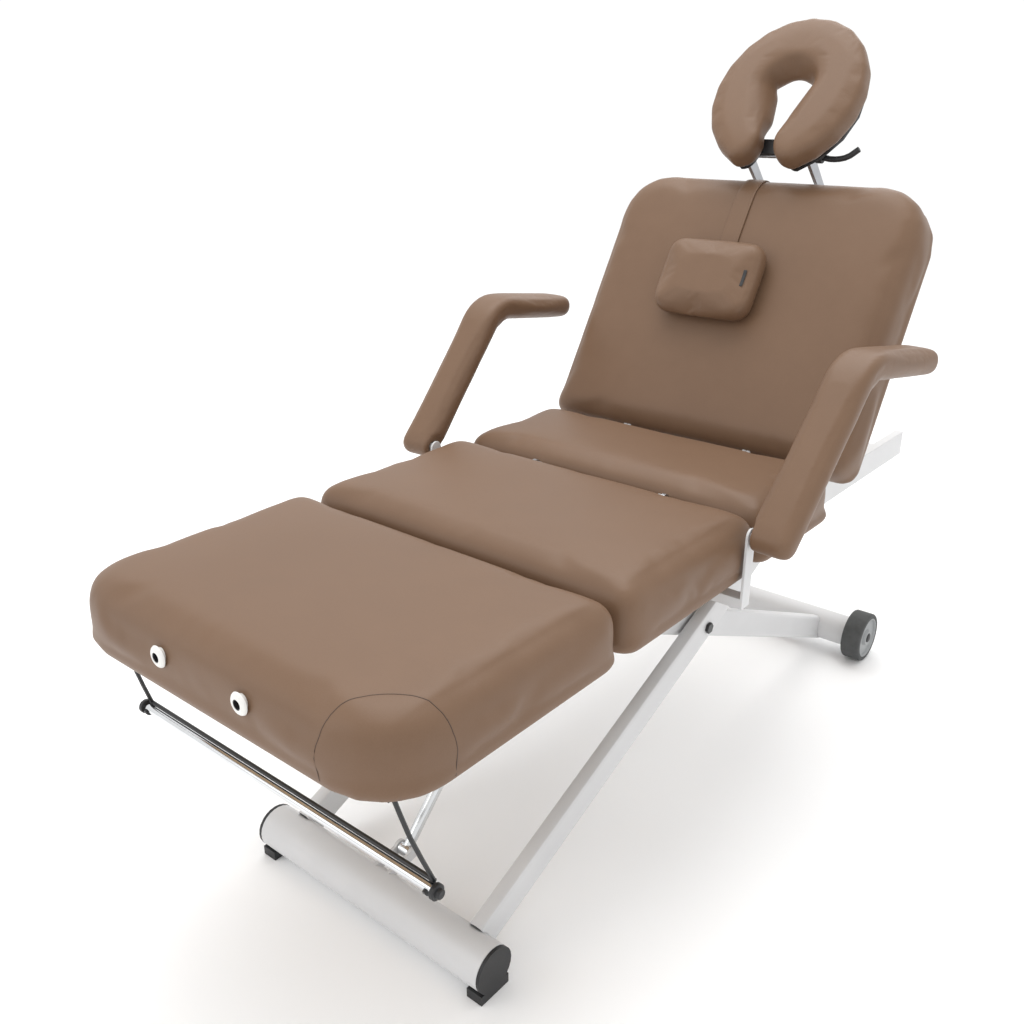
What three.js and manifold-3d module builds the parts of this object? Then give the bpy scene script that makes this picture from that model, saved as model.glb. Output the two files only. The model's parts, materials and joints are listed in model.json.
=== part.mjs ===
// A facial treatment bed: four cushions on a scissor lift that rolls on two rear wheels.
// Millimetres. +Z is up, +Y runs from the foot end to the head end, +X is the sitter's left.
import * as THREE from "three";
import { mergeVertices } from "three/addons/utils/BufferGeometryUtils.js";
import Module from "manifold-3d";

const wasm = await Module();
wasm.setup();

// ---------- driving dimensions ----------
const seatGap = 0.4; // between faces that rest on each other
const runGap = 1.5; // between parts that turn or slide past each other
const degree = Math.PI / 180;

// scissor lift
const tubeDiameter = 80;
const tubeWall = 6;
const frontWidth = 552; // over both foot caps
const capThickness = 6;
const capPlugDepth = 26;
const tubeHeight = 49; // axis of the front tube above the floor
const padLength = 66;
const liftAngle = 23.6 * degree;
const lowerArm = 768; // foot tube to scissor bolt
const upperArm = 400; // scissor bolt to the upper ends
const armHeight = 60;
const armWidth = 30;
const armWall = 3;
const armFillet = 9;
const outerArmFace = 232; // outer face of the outer arms
const armGap = 4; // between an outer arm and the inner arm beside it
const boltDiameter = 16;
const boltHead = 24;
const boltHeadHeight = 7;
const crossbarDiameter = 25;
const innerCrossbarAt = 300; // along the inner arms, above the scissor bolt
const rollerDiameter = 50;
const rollerWidth = 15;

// rear wheels
const wheelDiameter = 124;
const wheelWidth = 48;
const hubDiameter = 102;
const rearTubeDiameter = 76;
const rearTubeHalf = 268;
const axleDiameter = 16;

// top frame
const railHeight = 60;
const railWidth = 22;
const railWall = 3;
const railOuterFace = 257;
const railFrontEnd = 222;
const railRearEnd = 1625;
const crossDepth = 40;
const crossHeight = 28;

// upholstery
const cushionWidth = 735;
const cushionThickness = 118;
const cushionEdge = 32; // rounding of the long edges
const cushionCorner = 34;
const legCorner = 105; // plan corners at the foot end
const backCorner = 118; // corners at the top of the back
const creaseGap = 5;
const boardThickness = 15;
const boardMargin = 42; // board edge inside the cushion edge
const legLength = 491;
const thighLength = 424;
const seatLength = 312;
const backWidth = 745;
const backLength = 634;
const legRearEnd = 201;
const backAngle = 59 * degree;
const hingeDrop = 36; // tilting axes below the cushion tops
const backHingeBehindSeat = 25;
const backStart = -6; // lower end of the back cushion, from its hinge

// armrests
const armrestWidth = 84;
const armrestDepth = 50;
const armrestGap = 3.5; // between the cushions and an armrest
const armrestFoot = [563, 641]; // centre of the lower end, y and z
const armrestBend = [804, 903];
const armrestTip = [1062, 866];
const armrestBendRadius = 88;
const armrestSplay = 3.3 * degree;
const armrestRecess = 7.5; // in the inner face, for the head of the bracket
const bracketThickness = 5;

// face cradle, in the frame of the back
const cradleWidth = 348;
const cradleHeight = 374;
const cradleDepth = 66;
const cradleTilt = -5.6 * degree;
const cradleBelow = 33; // lower ends of the face pillow, before the end of the back cushion
const archRadius = 58; // upper end of the face opening
const archRise = 20; // centre of that end above the middle of the pillow
const openingHalf = 20; // half the gap between the lower ends
const lobeTopShare = 0.62;
const lobeTipShare = 0.42;
const postSpacing = 150;
const postDiameter = 14;

// roll holder and grommets
const rodLength = 672;
const rodDiameter = 14;
const rodY = -188;
const rodZ = 379;
const holderTopY = -226;
const wireDiameter = 7;
const barBehindRod = 6;
const barAboveRod = 9.4;
const knobDiameter = 24;
const grommetSpacing = 186;
const grommetDiameter = 34;
const grommetHeight = 611;

// neck pillow
const pillowWidth = 232;
const pillowLength = 172;
const pillowDepth = 62;
const strapWidth = 46;
const strapThickness = 3;
const bracketWidth = 28;
const padHeight = 18; // foot pads of the caps

// hinges, clevises and actuators
const earX = 142;
const earThickness = 8;
const earRadius = 15;
const hingePin = 12;
const lugInner = 13; // inner faces of the clevis plates, from the centre
const lugThickness = 6;
const lugRadius = 14;
const liftPinAlong = 85; // lower clevis pin, along and above the outer arms
const liftPinOut = 4;
const innerLugDrop = 38; // actuator eye below the inner crossbar
const armTipInset = 32; // hollow arm ends this far before its roller
const tipRadius = 24;
const frontCrossY = 246;
const hingeCrossY = 945;
const rearCrossY = 1580;
const rearCrossHeight = 18;
const actuatorDrop = 102; // back actuator pin below the rails' centre
const crankLength = 200; // back actuator eye below the back hinge
const rodRadius = 10;
const housingRadius = 23;
const motorRadius = 27;
const eyeRadius = 12;
const liftRodShare = 0.62; // of the length between an actuator's pins
const liftHousingFrom = 0.4;
const backRodShare = 0.58;
const backHousingFrom = 0.48;
const strutRadius = 9;
const strutRise = 8; // gas strut above the rails' centre
const leafThickness = 3;
const knuckleRadius = 6;
const backRailX = 166; // inner face
const backRailSize = 26;
const grommetDepth = 26;
const grommetBore = 17;
const footHeight = 14; // of the thigh hinge arms, on the board
const footLength = 96;
const leafHalf = 190;
const leafDepth = 52;
const backRailStart = 24;
const sleeveLength = 110;
const postStart = 14;
const postBelow = 24; // post axes below the rear face of the back cushion
const tiltHalf = 78;
const leverHub = 13;
const tiltPin = 12;
const platformInset = 14;
const bridgeHalf = 88;
const pillowOffset = -36; // neck pillow, towards the right
const pillowFromTop = 276; // centre of the neck pillow, below the upper end of the back
const armrestPin = 16;
const armrestPinReach = 46;

// ---------- helpers ----------
const paint = { color: 0xd6d7d8, roughness: 0.45, metalness: 0.2 };
const vinyl = { color: 0x94755f, roughness: 0.5, metalness: 0 };
const blackPlastic = { color: 0x18191b, roughness: 0.5, metalness: 0 };
const tyreRubber = { color: 0x54595b, roughness: 0.8, metalness: 0 };
const greyPlastic = { color: 0x8d9294, roughness: 0.55, metalness: 0 };
const whitePlastic = { color: 0xe9e7e2, roughness: 0.4, metalness: 0 };
const chrome = { color: 0xcfd2d4, roughness: 0.15, metalness: 1 };
const steel = { color: 0xa9adb0, roughness: 0.35, metalness: 0.9 };
const plywood = { color: 0x8a6d4c, roughness: 0.8, metalness: 0 };

function solidOf(geometry) {
  const plain = geometry.index ? geometry.toNonIndexed() : geometry.clone();
  plain.deleteAttribute("normal");
  plain.deleteAttribute("uv");
  const merged = mergeVertices(plain, 1e-3);
  const vertProperties = new Float32Array(merged.attributes.position.array);
  const triVerts = new Uint32Array(merged.index.array);
  return new wasm.Manifold(new wasm.Mesh({ numProp: 3, vertProperties, triVerts }));
}

function geometryOf(solid) {
  const mesh = solid.getMesh();
  const geometry = new THREE.BufferGeometry();
  geometry.setAttribute("position", new THREE.BufferAttribute(mesh.vertProperties, 3));
  geometry.setIndex(new THREE.BufferAttribute(mesh.triVerts, 1));
  geometry.computeVertexNormals();
  return geometry;
}

function join(...geometries) {
  return geometryOf(geometries.map(solidOf).reduce((all, next) => all.add(next)));
}

function cut(geometry, ...tools) {
  return geometryOf(tools.map(solidOf).reduce((rest, tool) => rest.subtract(tool), solidOf(geometry)));
}

function part(name, geometry, look) {
  const mesh = new THREE.Mesh(geometry, new THREE.MeshStandardMaterial(look));
  mesh.name = name;
  return mesh;
}

function groupAt(y, z, turn, ...children) {
  const group = new THREE.Group();
  group.position.set(0, y, z);
  group.rotation.x = turn;
  group.add(...children);
  return group;
}

function block(x0, x1, y0, y1, z0, z1) {
  const box = new THREE.BoxGeometry(Math.abs(x1 - x0), Math.abs(y1 - y0), Math.abs(z1 - z0));
  return box.translate((x0 + x1) / 2, (y0 + y1) / 2, (z0 + z1) / 2);
}

function ordered(a, b) {
  return a < b ? [a, b] : [b, a];
}

// A cylinder whose axis runs along X.
function roundX(radius, x0, x1, y, z, sides = 14) {
  const rod = new THREE.CylinderGeometry(radius, radius, Math.abs(x1 - x0), sides);
  rod.rotateZ(-Math.PI / 2);
  return rod.translate((x0 + x1) / 2, y, z);
}

// A cylinder whose axis runs along Y.
function roundY(radius, y0, y1, x, z, sides = 12) {
  const rod = new THREE.CylinderGeometry(radius, radius, Math.abs(y1 - y0), sides);
  return rod.translate(x, (y0 + y1) / 2, z);
}

function roundedRect(width, height, corner, segments) {
  const corners = Array.isArray(corner) ? corner : [corner, corner, corner, corner];
  const shape = new THREE.Shape();
  const w = width / 2;
  const h = height / 2;
  const centres = [
    [w - corners[0], -h + corners[0], -Math.PI / 2],
    [w - corners[1], h - corners[1], 0],
    [-w + corners[2], h - corners[2], Math.PI / 2],
    [-w + corners[3], -h + corners[3], Math.PI],
  ];
  const points = [];
  centres.forEach(([x, y, start], index) => {
    for (let step = 0; step <= segments; step += 1) {
      const angle = start + (step / segments) * (Math.PI / 2);
      const radius = corners[index];
      points.push(new THREE.Vector2(x + radius * Math.cos(angle), y + radius * Math.sin(angle)));
    }
  });
  return shape.setFromPoints(points);
}

// A shape drawn in (y, z) and given its thickness along X, from x0 to x1.
function plateX(shape, xa, xb, bevel = 0, bevelSegments = 3, segments = 4) {
  const [x0, x1] = ordered(xa, xb);
  const plate = new THREE.ExtrudeGeometry(shape, {
    depth: x1 - x0 - 2 * bevel,
    bevelEnabled: bevel > 0,
    bevelThickness: bevel,
    bevelSize: bevel,
    bevelOffset: -bevel,
    bevelSegments,
    curveSegments: segments,
  });
  const turn = new THREE.Matrix4().set(0, 0, 1, x0 + bevel, 1, 0, 0, 0, 0, 1, 0, 0, 0, 0, 0, 1);
  return plate.applyMatrix4(turn);
}

// A straight tube or bar of rounded section running along Y.
function beamY(xa, xb, y0, y1, z0, z1, fillet, wall = 0) {
  const [x0, x1] = ordered(xa, xb);
  const shape = roundedRect(x1 - x0, z1 - z0, fillet, 2);
  if (wall > 0) {
    const innerFillet = Math.max(fillet - wall, 1);
    shape.holes.push(roundedRect(x1 - x0 - 2 * wall, z1 - z0 - 2 * wall, innerFillet, 2));
  }
  const beam = new THREE.ExtrudeGeometry(shape, { depth: y1 - y0, bevelEnabled: false });
  beam.rotateX(Math.PI / 2);
  return beam.translate((x0 + x1) / 2, y1, (z0 + z1) / 2);
}

// A straight tube or bar of rounded section running along X.
function beamX(x0, x1, y0, y1, z0, z1, fillet, wall = 0) {
  const beam = beamY(-y1, -y0, x0, x1, z0, z1, fillet, wall);
  return beam.rotateZ(-Math.PI / 2);
}

// A cushion lying flat: its plan, its rounded edges and the pocket that takes its board.
function cushion(width, y0, y1, z0, z1, corners, edge = cushionEdge) {
  const length = y1 - y0;
  const shape = roundedRect(width, length, corners, 4);
  const pad = new THREE.ExtrudeGeometry(shape, {
    depth: z1 - z0 - 2 * edge,
    bevelThickness: edge,
    bevelSize: edge,
    bevelOffset: -edge,
    bevelSegments: 3,
  });
  return pad.translate(0, (y0 + y1) / 2, z0 + edge);
}

function board(width, y0, y1, z0, corner) {
  const shape = roundedRect(width - 2 * boardMargin, y1 - y0 - 2 * boardMargin, corner, 3);
  const sheet = new THREE.ExtrudeGeometry(shape, { depth: boardThickness, bevelEnabled: false });
  return sheet.translate(0, (y0 + y1) / 2, z0);
}

function boardPocket(width, y0, y1, z0, corner) {
  const margin = boardMargin - seatGap;
  const shape = roundedRect(width - 2 * margin, y1 - y0 - 2 * margin, corner + seatGap, 3);
  const depth = boardThickness + 1 + seatGap;
  const tool = new THREE.ExtrudeGeometry(shape, { depth, bevelEnabled: false });
  return tool.translate(0, (y0 + y1) / 2, z0 - 1);
}

// ---------- places that follow from the dimensions ----------
const upperY = upperArm * Math.cos(liftAngle);
const boltY = lowerArm * Math.cos(liftAngle);
const boltZ = tubeHeight + lowerArm * Math.sin(liftAngle);
const railZ = boltZ + upperArm * Math.sin(liftAngle);
const railTop = railZ + railHeight / 2;
const boardZ = railTop + seatGap;
const cushionTop = boardZ + cushionThickness;
const outerArmInner = outerArmFace - armWidth;
const innerArmFace = outerArmInner - armGap;
const innerArmInner = innerArmFace - armWidth;
const railInnerFace = railOuterFace - railWidth;
const wheelZ = wheelDiameter / 2;
const wheelRise = wheelZ - tubeHeight;
const hingeZ = cushionTop - hingeDrop;
const thighStart = legRearEnd + creaseGap;
const thighEnd = thighStart + thighLength;
const seatStart = thighEnd + creaseGap;
const seatEnd = seatStart + seatLength;
const legFront = legRearEnd - legLength;
const thighHingeY = thighEnd + creaseGap / 2;
const legHingeY = legRearEnd + creaseGap / 2;
const backHingeY = seatEnd + backHingeBehindSeat;
const thighCrossY = thighHingeY - crossDepth / 2 - 60;
const halfCushion = cushionWidth / 2;
const crossTop = railTop - railWall - seatGap;
const crossBottom = crossTop - crossHeight;
const backEnd = backStart + backLength;
const backFront = hingeDrop; // front face of the back cushion, from its hinge
const backRear = backFront - cushionThickness;
const postZ = backRear - postBelow;
const tiltY = backEnd + 44;
const tiltZ = 22; // height of the cradle's tilting axis, from the back hinge
const strutX = earX + 1.5 * earThickness + 2 * runGap + 12; // outside the moving hinge ears
const cradleBase = 14; // underside of the cradle platform above its tilting axis
const cradleCentre = cradleHeight / 2 - cradleBelow - (tiltY - backEnd);
const pillowX = pillowOffset;
const pillowY = backEnd - pillowFromTop;
const strapTail = backEnd - boardMargin + 4;

// ---------- feet and outer frame ----------
function footCap(side) {
  const outer = frontWidth / 2;
  const inner = outer - capThickness;
  const plugRadius = tubeDiameter / 2 - tubeWall - seatGap;
  const disc = roundX(tubeDiameter / 2, side * inner, side * outer, 0, tubeHeight, 24);
  const plug = roundX(plugRadius, side * (inner - capPlugDepth), side * (inner + 1), 0, tubeHeight, 24);
  const pad = block(side * (inner - capPlugDepth), side * outer, -padLength / 2, padLength / 2, 0,
      padHeight);
  const tube = roundX(tubeDiameter / 2 + seatGap, side * (inner - capPlugDepth - 5), side * inner, 0,
      tubeHeight, 24);
  return join(disc, plug, cut(pad, tube));
}

function frontTube() {
  const half = frontWidth / 2 - capThickness - seatGap;
  const outside = roundX(tubeDiameter / 2, -half, half, 0, 0, 24);
  const inside = roundX(tubeDiameter / 2 - tubeWall, -half - 1, half + 1, 0, 0, 24);
  const lugs = [-1, 1].map((side) => plateX(lugShape(), side * lugInner,
      side * (lugInner + lugThickness)));
  return cut(join(outside, ...lugs), inside);
}

// The clevis for the lift actuator, on the upper rear of the front tube, in the arms' own frame.
function lugShape() {
  const shape = new THREE.Shape();
  shape.moveTo(10, tubeDiameter / 2 - tubeWall);
  shape.lineTo(tubeDiameter / 2 - 3, 8);
  shape.lineTo(liftPinAlong + 10, liftPinOut - 12);
  shape.absarc(liftPinAlong, liftPinOut, lugRadius, -0.9, 2.2, false);
  return shape;
}

function outerArm(side) {
  const x0 = side * outerArmInner;
  const x1 = side * outerArmFace;
  const end = upperArm + lowerArm;
  const beam = beamY(x0, x1, tubeDiameter / 2 - tubeWall, end - armTipInset, -armHeight / 2,
      armHeight / 2, armFillet, armWall);
  const tube = roundX(tubeDiameter / 2 + seatGap, side * (outerArmInner - 5),
      side * (outerArmFace + 5), 0, 0, 24);
  const tip = plateX(tipShape(end, -1), x0, x1);
  const stub = roundX(boltDiameter / 2, side * (outerArmFace - 1),
      side * (railOuterFace - railWall - runGap), end, 0);
  const hole = roundX(boltDiameter / 2 + seatGap, side * (outerArmInner - 5),
      side * (outerArmFace + 5), lowerArm, 0);
  return cut(join(cut(beam, tube), tip, stub), hole);
}

// The solid round tip that closes an arm about its upper pin; the arm lies in the direction given.
function tipShape(end, direction) {
  const shape = new THREE.Shape();
  const root = end + direction * (armTipInset + 18);
  const width = armHeight / 2 - armWall - seatGap;
  shape.moveTo(root, -width);
  shape.lineTo(root, width);
  shape.lineTo(end + direction * armTipInset * 0.7, width);
  const start = direction > 0 ? Math.PI / 2 : -Math.PI / 2;
  if (direction > 0) {
    shape.absarc(end, 0, tipRadius, start, start + Math.PI, false);
    shape.lineTo(end + armTipInset * 0.7, -width);
  } else {
    shape.absarc(end, 0, tipRadius, -start, start, true);
    shape.lineTo(end - armTipInset * 0.7, -width);
  }
  return shape;
}

function railRoller(side) {
  const y = lowerArm + upperArm;
  const x0 = side * (outerArmFace + runGap);
  const x1 = side * (outerArmFace + runGap + rollerWidth);
  const wheel = roundX(rollerDiameter / 2, x0, x1, y, 0);
  return cut(wheel, roundX(boltDiameter / 2 + seatGap, side * outerArmFace, side * railOuterFace, y, 0));
}

// ---------- inner frame, in its own frame about the scissor bolt ----------
function innerArm(side) {
  const x0 = side * innerArmInner;
  const x1 = side * innerArmFace;
  const rearTube = roundX(rearTubeDiameter / 2 + seatGap, side * (innerArmInner - 5),
      side * (innerArmFace + 5), ...wheelPlace(), 24);
  const beam = beamY(x0, x1, -upperArm + armTipInset, lowerArm, -armHeight / 2, armHeight / 2,
      armFillet, armWall);
  const tip = plateX(tipShape(-upperArm, 1), x0, x1);
  const pin = roundX(boltDiameter / 2, side * (innerArmInner + 1),
      side * (railOuterFace - railWall - runGap), -upperArm, 0);
  const hole = roundX(boltDiameter / 2 + seatGap, side * (innerArmInner - 5),
      side * (innerArmFace + 5), 0, 0);
  return cut(join(cut(beam, rearTube), tip, pin), hole);
}

// The wheel axle in the inner frame: level with the wheels when the lift stands at its rest angle.
function wheelPlace() {
  const y = lowerArm - wheelRise * Math.sin(liftAngle);
  const z = wheelRise * Math.cos(liftAngle);
  return [y, z];
}

function rearTube() {
  const [y, z] = wheelPlace();
  const wall = roundX(rearTubeDiameter / 2, -rearTubeHalf, rearTubeHalf, y, z, 24);
  const inside = roundX(rearTubeDiameter / 2 - tubeWall, -rearTubeHalf + tubeWall,
      rearTubeHalf - tubeWall, y, z, 24);
  const drain = block(-6, 6, y - 6, y + 6, z - rearTubeDiameter, z);
  const axleX = rearTubeHalf + wheelWidth + 2 * runGap;
  const axles = [-1, 1].map((side) => roundX(axleDiameter / 2, side * (rearTubeHalf - 1),
      side * axleX, y, z));
  return join(cut(wall, inside, drain), ...axles);
}

function innerCrossbar() {
  const half = innerArmInner - seatGap;
  const y = -innerCrossbarAt;
  const bar = cut(
    roundX(crossbarDiameter / 2 + 4, -half, half, y, 0),
    roundX(crossbarDiameter / 2 + 4 - armWall, -half - 1, half + 1, y, 0),
  );
  const shape = new THREE.Shape();
  shape.moveTo(y - 12, -8);
  shape.lineTo(y - 12, -innerLugDrop - 4);
  shape.absarc(y, -innerLugDrop - 4, 12, Math.PI, 2 * Math.PI, false);
  shape.lineTo(y + 12, -8);
  const lugs = [-1, 1].map((side) => plateX(shape, side * lugInner, side * (lugInner + lugThickness)));
  return join(bar, ...lugs);
}

function scissorBolt(side) {
  const head = roundX(boltHead / 2, side * (outerArmFace + seatGap),
      side * (outerArmFace + boltHeadHeight), 0, 0, 6);
  const shank = roundX(boltDiameter / 2, side * (innerArmInner + 6), side * (outerArmFace + 1), 0, 0);
  return join(head, shank);
}

function wheelTyre(side) {
  const [y, z] = wheelPlace();
  const start = rearTubeHalf + runGap;
  const half = wheelWidth / 2;
  const r0 = hubDiameter / 2 + seatGap;
  const r1 = wheelDiameter / 2;
  const round = 5;
  const profile = [
    new THREE.Vector2(r0, -half),
    new THREE.Vector2(r1 - round, -half),
    new THREE.Vector2(r1 - 1.5, -half + 1.5),
    new THREE.Vector2(r1, -half + round),
    new THREE.Vector2(r1, half - round),
    new THREE.Vector2(r1 - 1.5, half - 1.5),
    new THREE.Vector2(r1 - round, half),
    new THREE.Vector2(r0, half),
    new THREE.Vector2(r0, -half),
  ];
  const tyre = new THREE.LatheGeometry(profile, 32);
  return tyre.rotateZ(-Math.PI / 2).translate(side * (start + half), y, z);
}

function wheelHub(side) {
  const [y, z] = wheelPlace();
  const start = rearTubeHalf + runGap;
  const disc = roundX(hubDiameter / 2, side * start, side * (start + wheelWidth), y, z);
  const dish = roundX(hubDiameter / 2 - 7, side * (start + wheelWidth - 6),
      side * (start + wheelWidth + 5), y, z);
  const boss = roundX(axleDiameter / 2 + 7, side * (start + 5), side * (start + wheelWidth - 1), y, z);
  const bore = roundX(axleDiameter / 2 + seatGap, side * (start - 5),
      side * (start + wheelWidth + 5), y, z);
  return cut(join(cut(disc, dish), boss), bore);
}

// ---------- top frame ----------
function rail(side) {
  const beam = beamY(
    side * railInnerFace, side * railOuterFace, railFrontEnd, railRearEnd, railZ - railHeight / 2,
        railTop, 2,
  );
  const track = block(
    side * (railInnerFace - 5), side * (railOuterFace - railWall),
    railFrontEnd - 5, railRearEnd - railWall, railZ - railHeight / 2 + railWall, railTop - railWall,
  );
  return cut(beam, track);
}

function crossTube(y) {
  const half = railOuterFace - railWall - seatGap;
  return beamX(-half, half, y - crossDepth / 2, y + crossDepth / 2, crossBottom, crossTop, 3, armWall);
}

// The rear cross tube lies low between the rails, under the head end of the back when it is flat.
function rearCross() {
  const half = railOuterFace - railWall - seatGap;
  const z0 = railTop - railHeight + railWall + seatGap;
  return beamX(-half, half, rearCrossY - crossDepth / 2, rearCrossY + crossDepth / 2, z0,
      z0 + rearCrossHeight, 3, armWall);
}

function clevisPlates(shape, inner, thickness) {
  return [-1, 1].map((side) => plateX(shape, side * inner, side * (inner + thickness)));
}

function hingeCross() {
  const ear = new THREE.Shape();
  ear.moveTo(hingeCrossY + crossDepth / 2 - 8, crossBottom + 4);
  ear.lineTo(hingeCrossY + crossDepth / 2 + 14, crossBottom + 4);
  ear.lineTo(backHingeY + earRadius, hingeZ - 6);
  ear.absarc(backHingeY, hingeZ, earRadius, -0.4, Math.PI, false);
  ear.lineTo(hingeCrossY + crossDepth / 2 + 2, crossTop + 4);
  ear.lineTo(hingeCrossY + crossDepth / 2 - 8, crossTop - 4);
  const pins = [-1, 1].map((side) =>
    roundX(hingePin / 2, side * (earX + 1), side * (earX + 2 * earThickness + runGap), backHingeY,
        hingeZ, 16));
  return join(crossTube(hingeCrossY), ...clevisPlates(ear, earX, earThickness), ...pins);
}

// The cross tube under the thigh hinge, with the hinge ears above and the back actuator's clevis below.
function thighCross() {
  const ear = new THREE.Shape();
  const rear = thighCrossY + crossDepth / 2;
  ear.moveTo(rear - 8, crossTop - 4);
  ear.lineTo(rear - 8, crossBottom + 4);
  ear.lineTo(thighHingeY + 4, crossBottom + 4);
  ear.lineTo(thighHingeY + 12, crossBottom + 12);
  ear.lineTo(thighHingeY + 12, hingeZ - 20);
  ear.absarc(thighHingeY, hingeZ, 12, 0, Math.PI, false);
  ear.lineTo(thighHingeY - 12, hingeZ - 20);
  ear.lineTo(thighHingeY - 16, crossTop - 4);
  const pins = [-1, 1].map((side) =>
    roundX(hingePin / 2, side * (earX + 1), side * (earX + 2 * earThickness + runGap), thighHingeY,
        hingeZ, 16));
  const lug = new THREE.Shape();
  lug.moveTo(thighCrossY + lugRadius, crossBottom + 1);
  lug.lineTo(thighCrossY - lugRadius, crossBottom + 1);
  lug.lineTo(thighCrossY - lugRadius, railZ - actuatorDrop);
  lug.absarc(thighCrossY, railZ - actuatorDrop, lugRadius, Math.PI, 2 * Math.PI, false);
  const plates = [...clevisPlates(ear, earX, earThickness), ...clevisPlates(lug, lugInner, lugThickness)];
  return join(crossTube(thighCrossY), ...plates, ...pins);
}

// ---------- upholstery ----------
// A slot that clears the hinge ears, open towards the underside of a cushion.
function earSlots(y0, y1, z0, z1) {
  const inner = earX - 3;
  const outer = earX + 2 * earThickness + runGap + 3;
  return [-1, 1].map((side) => block(side * inner, side * outer, y0, y1, z0, z1));
}

function seatCushion() {
  const pad = cushion(cushionWidth, seatStart, seatEnd, boardZ, cushionTop, cushionCorner);
  const slots = earSlots(seatStart - 1, thighHingeY + earRadius + 3, boardZ - 1, hingeZ + earRadius + 3);
  return cut(pad, boardPocket(cushionWidth, seatStart, seatEnd, boardZ, 12), ...slots);
}

function thighCushion() {
  const pad = cushion(cushionWidth, thighStart, thighEnd, boardZ, cushionTop, cushionCorner);
  const high = earSlots(thighHingeY - earRadius - 10, thighEnd + 1, boardZ - 1, hingeZ + earRadius + 3);
  const feetTop = boardZ + boardThickness + footHeight + 2 * seatGap + 1;
  const low = earSlots(thighEnd - footLength - 2, thighEnd + 1, boardZ - 1, feetTop);
  return cut(pad, boardPocket(cushionWidth, thighStart, thighEnd, boardZ, 12), ...high, ...low);
}

function legCushion() {
  const corners = [legCorner, cushionCorner, cushionCorner, legCorner];
  const pad = cushion(cushionWidth, legFront, legRearEnd, boardZ, cushionTop, corners);
  const sockets = [-1, 1].map((side) => {
    const x = (side * grommetSpacing) / 2;
    return roundY(grommetDiameter / 2 + seatGap, legFront - 5, legFront + grommetDepth + 1, x,
        grommetHeight);
  });
  return cut(pad, boardPocket(cushionWidth, legFront, legRearEnd, boardZ, legCorner - boardMargin),
      ...sockets);
}

// A socket in the foot end of the leg cushion, with a broad lip round its mouth.
function grommet(side) {
  const x = (side * grommetSpacing) / 2;
  const lip = roundY(grommetDiameter / 2, legFront - 1.5, legFront + grommetDepth, x, grommetHeight);
  const hole = roundY(grommetBore / 2, legFront - 5, legFront + grommetDepth - 4, x, grommetHeight);
  return cut(lip, hole);
}

function seatBoard() {
  return board(cushionWidth, seatStart, seatEnd, boardZ, 12);
}

function thighBoard() {
  return board(cushionWidth, thighStart, thighEnd, boardZ, 12);
}

function legBoard() {
  return board(cushionWidth, legFront, legRearEnd, boardZ, legCorner - boardMargin);
}

// The moving ear of the knee hinge: it stands on the thigh board, and on one side carries the crank.
function thighArm(side) {
  const x0 = side * (earX + earThickness + runGap);
  const x1 = side * (earX + 2 * earThickness + runGap);
  const footZ = boardZ + boardThickness + seatGap;
  const shape = new THREE.Shape();
  shape.moveTo(thighEnd - footLength, footZ);
  shape.lineTo(thighHingeY - earRadius, footZ);
  shape.lineTo(thighHingeY - earRadius + 2, railZ + strutRise);
  shape.absarc(thighHingeY, railZ + strutRise, earRadius - 2, Math.PI, 2 * Math.PI, false);
  shape.lineTo(thighHingeY + earRadius, hingeZ);
  shape.absarc(thighHingeY, hingeZ, earRadius, 0, Math.PI, false);
  shape.lineTo(thighHingeY - earRadius, footZ + footHeight);
  shape.lineTo(thighEnd - footLength, footZ + footHeight);
  const bore = roundX(hingePin / 2 + seatGap, side * earX, side * (earX + 30), thighHingeY, hingeZ);
  return cut(plateX(shape, x0, x1), bore);
}

// ---------- knee hinge under the crease between leg and thigh ----------
function hingeLeaf(direction, first) {
  const z1 = boardZ - seatGap;
  const z0 = z1 - leafThickness;
  const axisZ = z0 - knuckleRadius + leafThickness;
  const y0 = legHingeY + direction * runGap;
  const plate = block(-leafHalf, leafHalf, y0, legHingeY + direction * leafDepth, z0, z1);
  const count = 7;
  const pitch = (2 * leafHalf) / count;
  const knuckles = [];
  const gaps = [];
  for (let index = 0; index < count; index += 1) {
    const x = -leafHalf + index * pitch;
    const own = index % 2 === first;
    if (own) {
      const lug = block(x + runGap, x + pitch - runGap, legHingeY, legHingeY + direction * 9, axisZ, z1);
      knuckles.push(roundX(knuckleRadius, x + runGap, x + pitch - runGap, legHingeY, axisZ, 8), lug);
    } else {
      gaps.push(block(x - runGap, x + pitch + runGap, legHingeY - 9, legHingeY + 9, axisZ - 12, z1 + 1));
    }
  }
  const pin = roundX(knuckleRadius / 2, -leafHalf + 2, leafHalf - 2, legHingeY, axisZ, 8);
  const bore = roundX(knuckleRadius / 2 + seatGap, -leafHalf - 1, leafHalf + 1, legHingeY, axisZ, 8);
  const leaf = cut(plate, ...gaps);
  return first === 0 ? join(leaf, ...knuckles, pin) : cut(join(leaf, ...knuckles), bore);
}

// ---------- back, in its own frame about the back hinge ----------
function backCushion() {
  const corners = [cushionCorner, backCorner, backCorner, cushionCorner];
  const pad = cushion(backWidth, backStart, backEnd, backRear, backFront, corners);
  const slots = earSlots(backStart - 1, backRailStart + backRailSize + 2, backRear - 1, earRadius + 3);
  return cut(pad, boardPocket(backWidth, backStart, backEnd, backRear, backCorner - boardMargin),
      ...slots);
}

function backBoard() {
  const sheet = board(backWidth, backStart, backEnd, backRear, backCorner - boardMargin);
  return cut(sheet, ...earSlots(backStart - 1, backRailStart + backRailSize + 2, backRear - 5,
      earRadius));
}

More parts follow.
